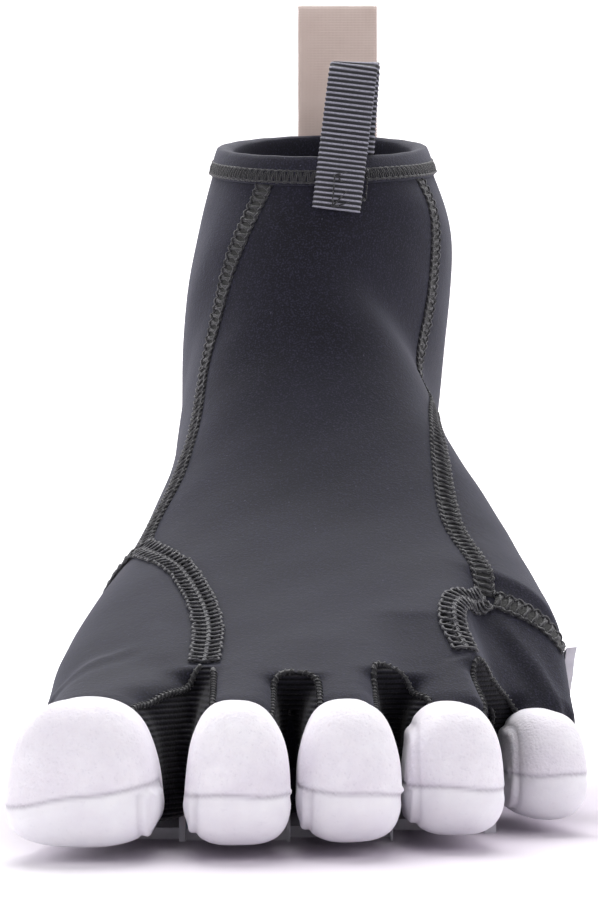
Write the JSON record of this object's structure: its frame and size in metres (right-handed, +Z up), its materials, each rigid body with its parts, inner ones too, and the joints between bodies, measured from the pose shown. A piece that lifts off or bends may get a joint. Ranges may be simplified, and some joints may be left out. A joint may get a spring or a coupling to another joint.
{
  "type": "five-toe neoprene water boot",
  "caption": "Left ankle-high neoprene water boot with separate hinged toes, rubber toe caps and cup sole, and webbing pull loops at the front and heel.",
  "frame": {"origin": "on the ground under the middle of the bounding box", "axes": "-Y towards the toe tips, +Y towards the heel, +X towards the little toe, +Z up the leg"},
  "size_m": [0.1167, 0.2686, 0.2319],
  "materials": {
    "neoprene": "charcoal knit-faced neoprene, matt with a fine speckle",
    "toe_rubber": "white rubber, sueded on the caps, smooth on the pods",
    "sole_rubber": "white rubber side wall and tread",
    "seam_thread": "black polyester thread, flat stitched",
    "gusset_knit": "black ribbed stretch knit",
    "binding": "charcoal stretch binding",
    "board": "stitched woven board",
    "foam": "black foam with a knit cover",
    "black_webbing": "black and grey ribbed webbing",
    "pale_webbing": "pale beige woven webbing"
  },
  "bodies": {
    "boot": {"outsole": "sole_rubber", "lasting_board": "board", "footbed": "foam", "vamp_panel": "neoprene", "big_toe_panel": "neoprene", "little_toe_panel": "neoprene", "medial_quarter": "neoprene", "lateral_quarter": "neoprene", "collar_binding": "binding", "gusset_1_2": "gusset_knit", "gusset_2_3": "gusset_knit", "gusset_3_4": "gusset_knit", "gusset_4_5": "gusset_knit", "medial_vamp_seam": "seam_thread", "lateral_vamp_seam": "seam_thread", "big_toe_seam": "seam_thread", "little_toe_seam": "seam_thread", "heel_seam": "seam_thread", "front_loop_outer_tab": "black_webbing", "front_loop_inner_tab": "black_webbing", "heel_loop_tab": "pale_webbing"},
    "toe_1": {"toe_1_sleeve": "neoprene", "toe_1_cap": "toe_rubber", "toe_1_pod": "toe_rubber"},
    "toe_2": {"toe_2_sleeve": "neoprene", "toe_2_cap": "toe_rubber", "toe_2_pod": "toe_rubber"},
    "toe_3": {"toe_3_sleeve": "neoprene", "toe_3_cap": "toe_rubber", "toe_3_pod": "toe_rubber"},
    "toe_4": {"toe_4_sleeve": "neoprene", "toe_4_cap": "toe_rubber", "toe_4_pod": "toe_rubber"},
    "toe_5": {"toe_5_sleeve": "neoprene", "toe_5_cap": "toe_rubber", "toe_5_pod": "toe_rubber"},
    "front_loop": {"front_pull_loop": "black_webbing"},
    "heel_loop": {"heel_pull_loop": "pale_webbing"}
  },
  "joints": [
    {"name": "toe_1_bend", "type": "hinge", "parent": "boot", "child": "toe_1", "pos_m": [-0.04312, -0.0913, 0.017], "axis": [-1, 0, 0], "range_deg": [-6, 18], "stiffness_Nm_per_rad": 0.4},
    {"name": "toe_2_bend", "type": "hinge", "parent": "boot", "child": "toe_2", "pos_m": [-0.01792, -0.0933, 0.0174], "axis": [-1, 0, 0], "range_deg": [-8, 25], "stiffness_Nm_per_rad": 0.4},
    {"name": "toe_3_bend", "type": "hinge", "parent": "boot", "child": "toe_3", "pos_m": [0.00318, -0.0883, 0.0183], "axis": [-1, 0, 0], "range_deg": [-8, 25], "stiffness_Nm_per_rad": 0.4},
    {"name": "toe_4_bend", "type": "hinge", "parent": "boot", "child": "toe_4", "pos_m": [0.02358, -0.0753, 0.0206], "axis": [-1, 0, 0], "range_deg": [-8, 25], "stiffness_Nm_per_rad": 0.4},
    {"name": "toe_5_bend", "type": "hinge", "parent": "boot", "child": "toe_5", "pos_m": [0.04458, -0.0563, 0.02105], "axis": [-1, 0, 0], "range_deg": [-8, 25], "stiffness_Nm_per_rad": 0.4},
    {"name": "front_loop_bend", "type": "hinge", "parent": "boot", "child": "front_loop", "pos_m": [0.00698, 0.0225, 0.1681], "axis": [1, 0, 0], "range_deg": [-30, 60], "stiffness_Nm_per_rad": 0.02},
    {"name": "heel_loop_bend", "type": "hinge", "parent": "boot", "child": "heel_loop", "pos_m": [0.00719, 0.10878, 0.194], "axis": [-1, 0, 0], "range_deg": [-60, 60], "stiffness_Nm_per_rad": 0.05}
  ]
}
